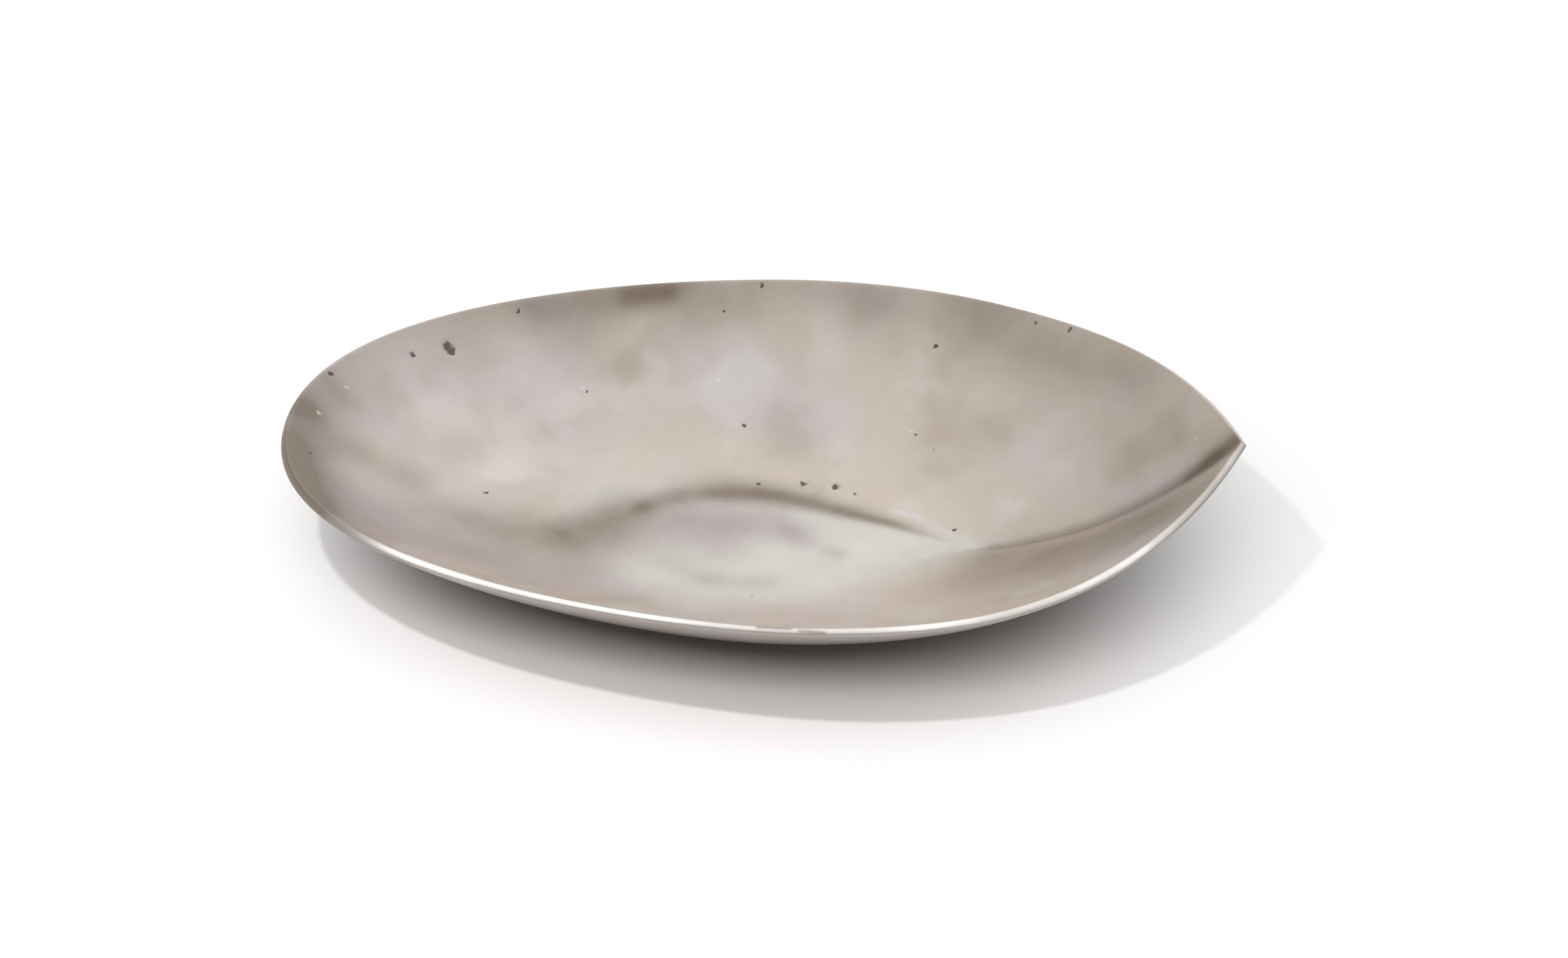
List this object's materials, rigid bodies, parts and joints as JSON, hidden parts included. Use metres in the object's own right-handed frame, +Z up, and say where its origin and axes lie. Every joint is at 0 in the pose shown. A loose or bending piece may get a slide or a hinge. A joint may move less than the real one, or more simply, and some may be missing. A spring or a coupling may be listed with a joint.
{
  "type": "offering bowl",
  "caption": "Shallow free-standing metal offering bowl, leaf-shaped, with a rounded heel, a lifted pouring point, a keel crease inside it and a small flat floor to stand on",
  "frame": {"origin": "On the table, under the middle of the bowl's length and width", "axes": "+X from the rounded heel to the pouring point, +Y across the bowl, +Z up"},
  "size_m": [0.2222, 0.1462, 0.0361],
  "materials": {
    "bowl": "satin silvered bronze with a mottled patina and casting pits"
  },
  "bodies": {
    "root": {"bowl": "bowl"}
  },
  "joints": []
}
